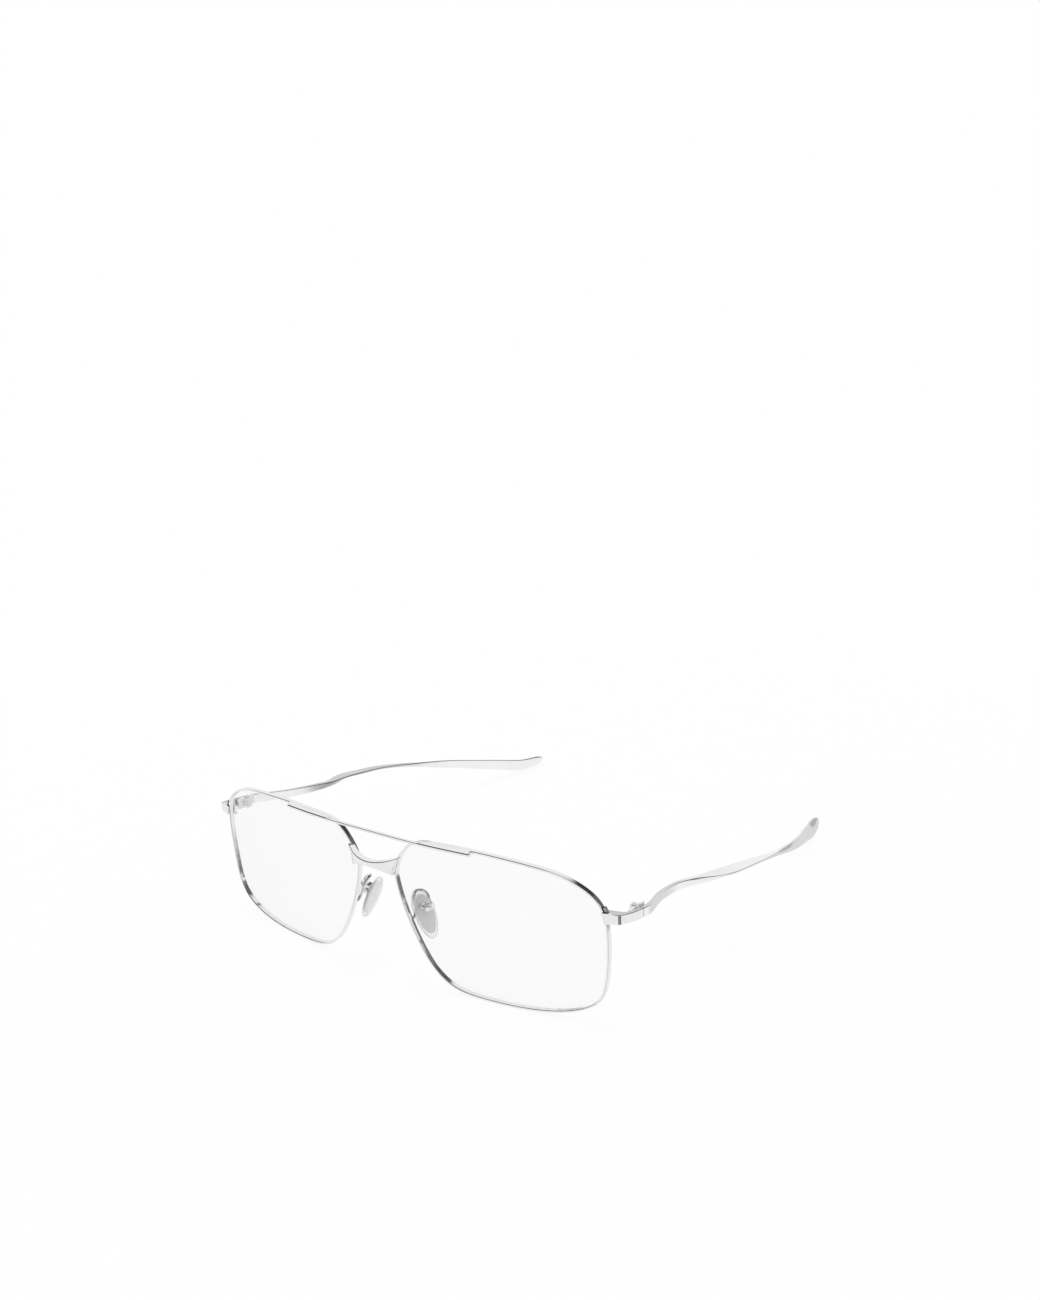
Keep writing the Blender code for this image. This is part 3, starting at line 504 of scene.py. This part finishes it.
class Look:
    """A material, or the world, and its nodes."""

    def __init__(self, name, owner=None):
        self.owner = owner or bpy.data.materials.new(name)
        self.owner.use_nodes = True
        self.tree = self.owner.node_tree
        self.tree.nodes.clear()

    def add(self, kind, settings=None, sockets=None, output=0):
        """A node of any type, its settings first, then its sockets' values or links."""
        node = self.tree.nodes.new(kind)
        for key, value in (settings or {}).items():
            setattr(node, key, value)
        for key, value in (sockets or {}).items():
            if isinstance(value, Value):
                self.tree.links.new(value.socket, node.inputs[key])
            else:
                node.inputs[key].default_value = value
        return Value(self, node.outputs[output])

    def math(self, operation, first, second):
        return self.add("ShaderNodeMath", {"operation": operation}, {0: first, 1: second})

    def close(self, shader, kind="ShaderNodeOutputMaterial"):
        output = self.tree.nodes.new(kind)
        self.tree.links.new(shader.socket, output.inputs["Surface"])
        return self.owner

    def place(self, scale=(1, 1, 1), turn=(0, 0, 0)):
        """Object coordinates, stretched and turned."""
        here = self.add("ShaderNodeTexCoord", output=3)
        return self.add("ShaderNodeMapping", None, {"Vector": here, "Scale": scale, "Rotation": turn})

    def noise(self, place, scale, detail, roughness=0.5):
        return self.add("ShaderNodeTexNoise", None, {
            "Vector": place, "Scale": scale, "Detail": detail, "Roughness": roughness})

    def step(self, value, low, high, out_low=0.0, out_high=1.0):
        """Smooth step of a value between two limits."""
        return self.add("ShaderNodeMapRange", {"interpolation_type": "SMOOTHSTEP"},
                        {0: value, 1: low, 2: high, 3: out_low, 4: out_high})

    def mix(self, share, one, two):
        return self.add("ShaderNodeMix", {"data_type": "RGBA"}, {0: share, 6: one, 7: two}, output=2)

    def bump(self, height, strength, distance, under=None):
        """Surface detail from a height, on top of other detail if that is given."""
        sockets = {"Height": height, "Strength": strength, "Distance": distance}
        if under is not None:
            sockets["Normal"] = under
        return self.add("ShaderNodeBump", None, sockets)

    def attribute(self, name):
        """A number stored on the points of the mesh."""
        return self.add("ShaderNodeAttribute", {"attribute_name": name}, output=2)


def metal(name, light, dull, roughness, grain, scratch=0.35, metallic=1.0):
    """Metal with polishing haze, fine hairlines along its grain and a little surface waviness."""
    look = Look(name)
    place = look.place()
    haze = look.noise(place, 180, 3)
    lines = look.noise(look.place(grain), 2600, 3, 0.65)
    cross = look.noise(look.place((1, 6, 1), (0.4, 0.3, 0.8)), 1500, 2, 0.6)
    wave = look.noise(place, 420, 1)
    marks = look.step(lines, 0.60, 0.72) * look.step(haze, 0.42, 0.62)
    colour = look.mix(look.step(haze, 0.3, 0.7), light, dull)
    rough = roughness + 0.05 * look.step(haze, 0.35, 0.7) + 0.10 * marks + 0.04 * (cross - 0.5)
    fine = look.bump(lines * 0.6 + cross * 0.4, scratch, 0.25e-6)
    shape = look.bump(wave, 0.2, 1.2e-6, fine)
    shader = look.add("ShaderNodeBsdfPrincipled", None, {
        "Base Color": colour, "Metallic": metallic, "Roughness": rough, "Normal": shape})
    return look.close(shader)


def lens_look():
    """Clear lens: almost nothing but a faint coating tint and gloss that grows towards grazing."""
    look = Look("clear_lens")
    place = look.place()
    dust = look.step(look.noise(place, 900, 2), 0.70, 0.78)
    haze = look.noise(place, 45, 2)
    facing = look.add("ShaderNodeLayerWeight", None, {"Blend": 0.35}, output=1)
    colour = look.mix(look.step(haze, 0.3, 0.7), (0.80, 0.80, 0.80, 1), (0.78, 0.78, 0.785, 1))
    alpha = 0.06 + 0.30 * facing ** 3 + 0.01 * dust
    shader = look.add("ShaderNodeBsdfPrincipled", None, {
        "Base Color": colour, "Metallic": 0.0, "Roughness": 0.03 + 0.05 * dust, "IOR": 1.55, "Alpha": alpha})
    return look.close(shader)


def silicone_look():
    """Clear soft pad: a milky contact face, and a clear back with a painted dark outline that stands in for
    refraction at its rounded edge.
    """
    look = Look("clear_silicone")
    cloud = look.noise(look.place(), 420, 3)
    grain = look.noise(look.place(), 5200, 2)
    reach = look.attribute("reach")
    contact = look.attribute("contact")
    facing = look.add("ShaderNodeLayerWeight", None, {"Blend": 0.5}, output=1)
    # Painted shade: near its outer rim and where it is seen edge-on, the pad turns grey and more opaque,
    # standing in for the dark refraction at the rounded edge; the contact face is spared
    edge = look.math("MAXIMUM", look.step(reach, 0.95, 0.99), look.step(facing, 0.70, 0.98))
    edge = edge * (1 - contact)
    inside = look.mix(look.step(cloud, 0.3, 0.7), (0.94, 0.94, 0.94, 1), (0.91, 0.91, 0.915, 1))
    colour = look.mix(edge, inside, (0.42, 0.425, 0.43, 1))
    alpha = 0.05 + 0.02 * cloud + 0.28 * contact + 0.42 * edge
    shader = look.add("ShaderNodeBsdfPrincipled", None, {
        "Base Color": colour, "Metallic": 0.0, "Roughness": 0.20 + 0.10 * cloud, "IOR": 1.41,
        "Alpha": alpha, "Normal": look.bump(grain, 0.3, 3e-6)})
    return look.close(shader)


def core_look():
    """Frosted insert inside the pad, brighter on the face near the contact side."""
    look = Look("pad_core")
    cloud = look.noise(look.place(), 800, 3)
    near = look.attribute("near")
    colour = look.mix(look.step(cloud, 0.3, 0.7), (0.74, 0.74, 0.74, 1), (0.71, 0.71, 0.715, 1))
    colour = look.mix(near, colour, (0.95, 0.95, 0.95, 1))
    shader = look.add("ShaderNodeBsdfPrincipled", None, {
        "Base Color": colour, "Metallic": 0.0, "Roughness": 0.45 + 0.1 * cloud})
    return look.close(shader)


SATIN = ((0.93, 0.935, 0.94, 1), (0.90, 0.905, 0.91, 1))
polished = metal("polished_metal", (0.90, 0.905, 0.91, 1), (0.87, 0.875, 0.885, 1), 0.08, (1, 1, 6))
strap_metal = metal("temple_metal", (0.95, 0.955, 0.96, 1), (0.92, 0.925, 0.93, 1), 0.09, (4, 0.3, 4))
wire_metal = metal("wire_metal", (0.86, 0.865, 0.87, 1), (0.82, 0.825, 0.835, 1), 0.16, (6, 6, 1))
hinge_metal = metal("hinge_metal", *SATIN, 0.45, (1, 1, 14), scratch=0.5, metallic=0.2)
box_metal = metal("box_metal", *SATIN, 0.15, (1, 1, 14), scratch=0.5)
lock_metal = metal("lock_metal", (0.36, 0.365, 0.37, 1), (0.30, 0.305, 0.31, 1), 0.22, (1, 1, 14),
                   scratch=0.5)
screw_metal = metal("screw_metal", (0.84, 0.845, 0.85, 1), (0.78, 0.785, 0.79, 1), 0.30, (14, 14, 1),
                    scratch=0.5, metallic=0.5)
clear = lens_look()
silicone = silicone_look()
core = core_look()


# Placing pieces on the frame

def dress(made, look, body, nodes):
    """Give a piece its material, its body and the solids that it stands for."""
    made.data.materials.clear()
    made.data.materials.append(look)
    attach(made, body)
    if nodes:
        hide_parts(*nodes)
    return made


sweep = make_sweep_tree()
screw = make_screw_tree()


def sweep_bar(name, points, directions, width, height, edge, steps, look):
    """Bar of rounded section along a line of points."""
    return sweep.run(name + "_wire", line_mesh(name + "_line", points, directions), {
        "Width": width, "Height": height, "Edge Radius": edge, "Edge Steps": steps, "Material": look})


def make_rim(tag, side):
    """Rim wire from one side of its split to the other."""
    start = rim_place(END_TOP - STRAP_HEIGHT / 2)
    count = len(OUTLINE)
    span = RIM_SPLIT / (2 * RIM_HALF_HEIGHT * SPLIT_STEP)
    places = start + np.linspace(span / 2, count - span / 2, count * 16)
    points, directions = rim_points(side, places, -RIM_WIDTH / 2, RIM_DEPTH / 2)
    made = sweep_bar(tag + "_rim", points, directions, RIM_WIDTH, RIM_DEPTH, RIM_EDGE, 5, polished)
    made.data.set_sharp_from_angle(angle=FLAT_ANGLE)
    dress(made, polished, "front", [tag + "_rim"])


def make_lens(tag, side):
    """Lens with evenly curved faces, its edge held in the rim."""
    places = np.linspace(0, len(OUTLINE), len(OUTLINE) * 12, endpoint=False)
    back = LENS_RECESS + LENS_THICKNESS
    edge, _ = rim_points(side, places, -RIM_WIDTH + LENS_GRIP, 0)
    centre_x, centre_z = side * LENS_CENTRE, RIM_HALF_HEIGHT
    rings = []
    shares = (0.03, 0.15, 0.3, 0.45, 0.6, 0.75, 0.9, 1.0)
    front = [(share, LENS_RECESS) for share in shares]
    rear = [(share, back) for share in reversed(shares)]
    for share, depth in front + rear:
        ring = []
        for point in edge:
            x = centre_x + share * (point.x - centre_x)
            z = centre_z + share * (point.z - centre_z)
            ring.append(Vector((x, face_y(x, z), z)) + depth * face_normal(x, z))
        rings.append(ring)
    made = finish_mesh(tag + "_lens_clear", loft(rings, "poles"), 40)
    dress(made, clear, "front", [tag + "_lens"])


def make_bar():
    """Straight bar in front of the rim tops."""
    z = RIM_TOP - BAR_DROP + BAR_HEIGHT / 2
    points = [Vector((x, face_y(x, z), z)) - BAR_DEPTH / 2 * face_normal(x, z)
              for x in np.linspace(-BAR_HALF, BAR_HALF, 121)]
    directions = [Vector((0, 0, 1))] * len(points)
    made = sweep_bar("brow_bar", points, directions, BAR_HEIGHT, BAR_DEPTH + 2 * SEAT, BAR_EDGE, 5, polished)
    made.data.set_sharp_from_angle(angle=FLAT_ANGLE)
    dress(made, polished, "front", ["brow_bar"])


def make_seam(tag, side):
    """Soldered seam that fills the step where a rim stands above the bar in front of it."""
    level = RIM_TOP - BAR_DROP + BAR_HEIGHT
    edge, _ = rim_points(side, np.linspace(3, 8, 401), 0, 0)
    rings = []
    for point in edge:
        if point.z > level + SOLDER_LEAST and abs(point.x) < BAR_HALF:
            front, rear = point.y - BAR_DEPTH + BAR_EDGE, point.y + RIM_EDGE
            low, high = level - SOLDER_SINK, point.z - SOLDER_BELOW
            rings.append([Vector((point.x, y, z)) for y, z in (
                (front, low), (front, high), (rear, high), (rear, low))])
    made = finish_mesh(tag + "_bar_seam", loft(rings), 30)
    dress(made, polished, "front", [])


def temple_ring(share, inward, down, width, height, tilt, notch, side):
    """One section of a temple: a tilted rectangle with soft corners and a ridge along its outer face."""
    share = min(max(share, 0.0), 1.0)
    start_low = END_TOP - (SEAM_Y - END_CORNER_Y) * tan(SIDE_DROP) - STRAP_HEIGHT
    low = start_low * (1 - down)
    half_w, half_h = width * MM / 2, height * MM / 2
    turn = radians(tilt)
    blend = min(1.0, max(0.0, (share - ROUND_FROM) / ROUND_OVER))
    twist = TWIST_ROUND * max(0.0, 1 - ((share - TWIST_AT) / TWIST_REACH) ** 2)
    bend = min(STRAP_ROUND + blend * (TIP_ROUND - STRAP_ROUND) + twist, 0.8 * half_w, 0.56 * half_h)
    lean = min(float(np.interp(share, *zip(*RIDGE))) * MM, 0.9 * half_w)
    ridge = half_h * (1 - 2 * RIDGE_AT)
    face = half_w - notch
    corners = [(face, ridge, 0.2 * half_h), (face - lean, half_h, bend), (-half_w, half_h, bend),
               (-half_w, -half_h, bend), (face, -half_h, bend)]
    ring = []
    for k, (u, v, cut) in enumerate(corners):
        here, cut = Vector((u, v)), float(cut)
        before = (Vector(corners[k - 1][:2]) - here).normalized()
        after = (Vector(corners[(k + 1) % len(corners)][:2]) - here).normalized()
        ring.append(here + before * 1.12 * cut)
        for t in np.linspace(0, 1, 7):
            ring.append(here + before * cut * float(1 - t) ** 2 + after * cut * float(t) ** 2)
        ring.append(here + after * 1.12 * cut)
    ring = [(u * cos(turn) - v * sin(turn), u * sin(turn) + v * cos(turn)) for u, v in ring]
    lift = low - min(v for u, v in ring)
    centre_x = HINGE.x + STRAP_SHIFT - inward * MM
    centre_y = SEAM_Y + SEAM + share * TEMPLE_LENGTH
    return [Vector((side * (centre_x + u), centre_y, v + lift)) for u, v in ring]


def make_temple(tag, side):
    """Temple strap with two fine cross marks on its outer face."""
    last = len(TEMPLE_FORM) - 1
    fine = np.linspace(0, last, 20 * last + 1)
    shares = open_spline(TEMPLE_FORM, fine)[:, 0]
    stations = [(place, 0.0) for place in fine]
    for mark in TICK_PLACES:
        for step, depth in TICK_FORM:
            share = (mark + step * TICK_HALF - SEAM_Y - SEAM) / TEMPLE_LENGTH
            place = float(np.interp(share, shares, fine))
            stations = [station for station in stations if abs(station[0] - place) >= TICK_CLEAR]
            stations.append((place, depth * TICK_DEPTH))
    stations.sort()
    rows = open_spline(TEMPLE_FORM, np.array([place for place, notch in stations]))
    rings = [temple_ring(*row, notch, side) for row, (place, notch) in zip(rows, stations)]
    made = finish_mesh(tag + "_temple_strap", loft(rings), 40)
    dress(made, strap_metal, tag + "_temple", [tag + "_temple"])


def pad_frame(side):
    """Middle of a pad, and how it is turned."""
    middle = Vector((side * (LENS_DISTANCE / 2 + PAD_OUT), PAD_BEHIND, RIM_HALF_HEIGHT - PAD_BELOW))
    lean = Matrix.Rotation(-PAD_LEAN * side, 3, "Y")
    splay = Matrix.Rotation(-PAD_SPLAY * side, 3, "Z")
    return middle, splay @ lean


def pad_ring(side, size, depth):
    """The pad's outline, made smaller by a factor, at a depth from its middle."""
    middle, turn = pad_frame(side)
    ring = []
    for k in range(PAD_STEPS):
        angle = 2 * pi * k / PAD_STEPS
        wide = PAD_HALF_WIDTH * (1 + PAD_EGG * cos(angle))
        ring.append(middle + turn @ Vector((side * depth, size * wide * sin(angle),
                                            size * PAD_HALF_LENGTH * cos(angle))))
    return ring


def store(made, name, values):
    """Keep a number on the points of each ring of a pad's mesh, and on its two poles."""
    spread = made.data.attributes.new(name, "FLOAT", "POINT")
    spread.data.foreach_set("value", np.r_[np.repeat(values, PAD_STEPS), values[0], values[-1]])


def make_pad(tag, side):
    """Clear pad round a frosted insert whose post stands in the metal box."""
    half = PAD_THICKNESS / 2
    shape = open_spline(PAD_FORM, np.linspace(0, len(PAD_FORM) - 1, 37))
    rings = [pad_ring(side, size, PAD_THICKNESS * (0.5 - share)) for share, size in shape]
    made = finish_mesh(tag + "_pad_clear", loft(rings, "poles"))
    store(made, "reach", [size for share, size in shape])
    store(made, "contact", [min(1.0, max(0.0, 5 * share - 2.0)) for share, size in shape])
    dress(made, silicone, tag + "_pad", [tag + "_nose_pad"])

    far, near = 0.70 * half, -0.10 * half
    lip = far + INSERT_LIP
    rings = [pad_ring(side, size, depth) for size, depth in (
        (0.40, far), (0.70, far), (0.72, lip), (0.77, lip), (0.79, far), (0.79, near), (0.74, near),
        (0.40, near))]
    plate = finish_mesh(tag + "_pad_plate", loft(rings, "poles"), 40)
    store(plate, "near", (0.0, 0.0, 0.0, 0.0, 0.0, 1.0, 1.0, 1.0))
    dress(plate, core, tag + "_pad", [])

    middle, turn = pad_frame(side)
    pivot_out = BOX_FAR - BOX_WALL - BOSS
    wide = BOX_WIDTH / 2 - BOX_WALL - POST_GAP
    rings = []
    for depth, size in ((far, 1.0), (half + BOX_GAP, 0.96), (pivot_out + 0.40 * MM, 0.96),
                        (pivot_out + 0.45 * MM, 0.86)):
        ring = []
        for a, b in ((1, 1), (-1, 1), (-1, -1), (1, -1)):
            across, up = a * wide * size, b * BOSS * size
            ring.append(middle + turn @ Vector((side * depth, across, BOX_ABOVE + up)))
        rings.append(ring)
    post = finish_mesh(tag + "_pad_post", loft(rings), 30)
    dress(post, core, tag + "_pad", [])


def make_arm(tag, side):
    """Bent wire from the back of the rim over the top and down into the box."""
    middle, turn = pad_frame(side)
    landing = middle + turn @ Vector((side * (BOX_FAR + STUB_LENGTH / 2), 0, BOX_ABOVE + STUB / 2 + SEAT))
    up = turn @ Vector((0, 0, 1))
    foot_z = RIM_HALF_HEIGHT - WIRE_BELOW
    line, _ = closed_spline(OUTLINE, np.array([rim_place(foot_z, False)]))
    foot_x = LENS_CENTRE + RIM_HALF_WIDTH * line[0][0] + RIM_WIDTH / 2
    foot = Vector((side * foot_x, face_y(foot_x, foot_z) + RIM_DEPTH + SEAT, foot_z))
    route = [foot + Vector((side * x, y, z)) * MM for x, y, z in ARM_RISING]
    route += [landing + Vector((side * x, y, z)) * MM for x, y, z in ARM_FALLING]
    route += [landing + up * 0.85 * MM, landing - up * 0.15 * MM]
    curve = open_spline([tuple(p) for p in route], np.linspace(0, len(route) - 1, 120))
    points = [Vector(p) for p in curve]
    directions = []
    across = Vector((side, 0, 0))
    for i in range(len(points)):
        ahead = (points[min(i + 1, len(points) - 1)] - points[max(i - 1, 0)]).normalized()
        across = (across - ahead * across.dot(ahead)).normalized()
        directions.append(across.copy())
    made = sweep_bar(tag + "_pad_arm", points, directions, WIRE, WIRE, WIRE * 0.49, 6, wire_metal)
    dress(made, wire_metal, "front", [tag + "_pad_arm"])


def make_screws(tag, side):
    """Hinge screw, pad screw and the small screw of the rim lock."""
    middle, turn = pad_frame(side)
    pivot = middle + turn @ Vector((side * (BOX_FAR - BOX_WALL - BOSS), 0, BOX_ABOVE))
    reach = BOX_WIDTH / 2 + RUN
    places = np.array([rim_place(END_TOP - STRAP_HEIGHT + LOCK_INSET), rim_place(END_TOP + LOCK_ABOVE)])
    ends, _ = rim_points(side, places, SEAT + LOCK_WIDTH / 2, LOCK_FRONT + LOCK_DEPTH / 2)
    down = (ends[0] - ends[1]).normalized()
    hinge = Vector((side * HINGE.x, HINGE.y, HINGE.z))
    for part, seat, out, head, height, thick, length in (
            ("hinge_screw", hinge + Vector((0, 0, BARREL_HEIGHT / 2 + RUN)), Vector((0, 0, 1)),
             SCREW_HEAD, SCREW_HEAD_HEIGHT, PIN, BARREL_HEIGHT + 2 * RUN),
            ("pad_screw", pivot + turn @ Vector((0, -reach, 0)), turn @ Vector((0, -1, 0)),
             PAD_SCREW_HEAD, PAD_SCREW_HEAD_HEIGHT, PAD_SCREW, reach + BOX_WIDTH / 2),
            ("lock_screw", ends[0] + down * (RUN + SEAT), down,
             LOCK_HEAD, LOCK_HEAD_HEIGHT, LOCK_SCREW, LOCK_SCREW_LENGTH)):
        name = tag + "_" + part
        place = line_mesh(name + "_place", [seat + out * height / 2], [out])
        made = screw.run(name + "_slotted", place, {
            "Head Radius": head / 2, "Head Height": height, "Shank Radius": thick / 2,
            "Shank Length": length, "Material": screw_metal})
        dress(made, screw_metal, "front", [name])


POLISHED_PIECES = (
    ("end_piece", PLATE_EDGE, polished),
    ("lock_upper", LOCK_EDGE, lock_metal),
    ("lock_lower", SMALL_EDGE, lock_metal),
    ("pad_box", BOX_EDGE, box_metal),
    ("hinge_front_leaf", SMALL_EDGE, hinge_metal),
)

for tag, side in SIDES:
    make_rim(tag, side)
    make_lens(tag, side)
    make_seam(tag, side)
    make_temple(tag, side)
    make_pad(tag, side)
    make_arm(tag, side)
    for part, width, look in POLISHED_PIECES:
        node = tag + "_" + part
        dress(edged_copy(node, width), look, "front", [node])
    node = tag + "_hinge_temple_leaf"
    dress(edged_copy(node, SMALL_EDGE), hinge_metal, tag + "_temple", [node])
    make_screws(tag, side)
make_bar()
dress(edged_copy("bridge", BRIDGE_EDGE), polished, "front", ["bridge"])


# Floor, light and camera

# What the metal mirrors, as round patches: direction, and the angles in degrees from its middle where the
# patch starts to fade and where it ends. Breaks are light places in the dark ceiling; the other patches
# are dark by the share that stands first.
CEILING_DARK = 0.95
CEILING_BREAKS = (
    ((-0.33, 0.66, 0.675), 14, 24), ((0.55, -0.71, 0.44), 26, 44), ((-0.66, 0.64, 0.42), 10, 18))
VEIL = (0.34, ((-0.60, 0.79, 0.12), 8, 12))
NEAR_FLANK = (0.50, ((0.14, 0.98, 0.05), 10, 15))
FAR_FLANK = (0.85, ((0.38, 0.91, 0.17), 9, 14))
LEAF = (0.22, ((0.07, 0.97, -0.22), 16, 27))
UNDER = (0.45, ((-0.53, -0.02, -0.85), 11, 20))
CORNER = (0.85, ((0.68, 0.71, 0.15), 22, 34))
CORNER_BREAK = ((0.867, 0.455, 0.209), 9, 14)
# Upright dark panel in front and to the side: its edges, in degrees round from the front
PANEL_DARK = 0.75
PANEL_EDGES = ((30, 38), (72, 82))
# Brightness of what is mirrored, and of the light that falls on matt surfaces
MIRRORED = 0.92
AROUND = 0.75
FLOOR_HALF = 4
FLOOR_BELOW = 0.00001


def make_floor():
    """Matt pale floor near the object that turns into pure white away from it, as seen."""
    look = Look("pale_floor")
    path = look.add("ShaderNodeLightPath")
    nodes = path.socket.node.outputs
    seen = Value(look, nodes["Is Camera Ray"]) + Value(look, nodes["Is Glossy Ray"])
    seen = look.add("ShaderNodeMath", {"operation": "ADD", "use_clamp": True},
                    {0: seen, 1: Value(look, nodes["Is Transmission Ray"])})
    grain = look.noise(look.place(), 60, 3)
    colour = look.mix(look.step(grain, 0.3, 0.7), (0.93, 0.93, 0.93, 1), (0.91, 0.91, 0.91, 1))
    matt = look.add("ShaderNodeBsdfDiffuse", None, {"Color": colour})
    glow = look.add("ShaderNodeEmission", None, {"Color": (1, 1, 1, 1), "Strength": 1.0})
    away = look.add("ShaderNodeVectorMath", {"operation": "LENGTH"}, {0: look.place()}, output=1)
    shader = look.add("ShaderNodeMixShader", None, {
        0: seen * look.step(away, 0.08, 0.30, 0.90, 1.0), 1: matt, 2: glow})
    bm = bmesh.new()
    bmesh.ops.create_grid(bm, x_segments=1, y_segments=1, size=FLOOR_HALF)
    mesh = bpy.data.meshes.new("floor")
    bm.to_mesh(mesh)
    bm.free()
    mesh.transform(Matrix.Translation((0, 0, cad_box[0][2] - FLOOR_BELOW)))
    mesh.materials.append(look.close(shader))
    floor = bpy.data.objects.new("floor", mesh)
    floor.visible_glossy = False
    bpy.context.scene.collection.objects.link(floor)


def make_world():
    """White for what is seen, a bright room with dark places for what is mirrored, and soft light."""
    world = bpy.data.worlds.new("studio")
    bpy.context.scene.world = world
    look = Look("studio", world)
    path = look.add("ShaderNodeLightPath").socket.node.outputs
    there = look.add("ShaderNodeTexCoord", output=0)
    parts = look.add("ShaderNodeSeparateXYZ", None, {0: there}).socket.node.outputs
    x, y, z = [Value(look, part) for part in parts]

    def patch(towards, inner, outer):
        """Round patch of the surroundings, soft between two angles from its middle."""
        share = look.add("ShaderNodeVectorMath", {"operation": "DOT_PRODUCT"},
                         {0: there, 1: Vector(towards).normalized()}, output=1)
        return look.step(share, cos(radians(outer)), cos(radians(inner)))

    ceiling = look.step(z + look.step(0 - y, 0.0, 0.4, 0.0, 0.35), 0.22, 0.56)
    for gap in CEILING_BREAKS:
        ceiling = ceiling * (1 - patch(*gap))
    turned = look.math("ARCTAN2", x, 0 - y)
    left, right = [look.step(turned, *[radians(degrees) for degrees in edge]) for edge in PANEL_EDGES]
    corner = CORNER[0] * (patch(*CORNER[1]) * (1 - patch(*CORNER_BREAK)))
    shares = [CEILING_DARK * ceiling, PANEL_DARK * (left * (1 - right)), corner]
    shares += [share * patch(*place) for share, place in (VEIL, NEAR_FLANK, FAR_FLANK, LEAF, UNDER)]
    dark = 0
    for share in shares:
        dark = look.math("MAXIMUM", dark, share)
    seen = Value(look, path["Is Camera Ray"]) + Value(look, path["Is Transmission Ray"])
    mirrored = Value(look, path["Is Glossy Ray"]) * MIRRORED * (1 - dark)
    plain = 1 - (seen + Value(look, path["Is Glossy Ray"]))
    strength = seen + mirrored + plain * AROUND
    back = look.add("ShaderNodeBackground", None, {"Color": (1, 1, 1, 1), "Strength": strength})
    look.close(back, "ShaderNodeOutputWorld")


def make_lamp(name, place, aim, size, power):
    """Round lamp that the metal doesn't mirror."""
    data = bpy.data.lights.new(name, "AREA")
    data.shape = "DISK"
    data.size = size
    data.energy = power
    lamp = bpy.data.objects.new(name, data)
    lamp.location = place
    lamp.visible_glossy = False
    lamp.rotation_euler = (Vector(aim) - Vector(place)).to_track_quat("-Z", "Y").to_euler()
    bpy.context.scene.collection.objects.link(lamp)


def make_camera():
    """Camera fitted to the view of the frame: its right, up and back directions and its place."""
    data = bpy.data.cameras.new("camera")
    data.lens = 40.627
    data.sensor_width = 36
    data.shift_y = 0.18081
    data.clip_start = 0.01
    data.clip_end = 20
    camera = bpy.data.objects.new("camera", data)
    camera.matrix_world = Matrix((
        (0.8011814, -0.2274595, 0.5535074, 0.2416222),
        (0.5966666, 0.3744198, -0.7097878, -0.3210326),
        (-0.0457961, 0.8989282, 0.4356957, 0.1909990),
        (0, 0, 0, 1)))
    bpy.context.scene.collection.objects.link(camera)
    bpy.context.scene.camera = camera


make_floor()
make_world()
make_lamp("overhead", (-0.15, 0.1, 0.8), (0, 0, 0), 0.7, 2.5)
make_camera()
bpy.context.scene.view_settings.view_transform = "Standard"
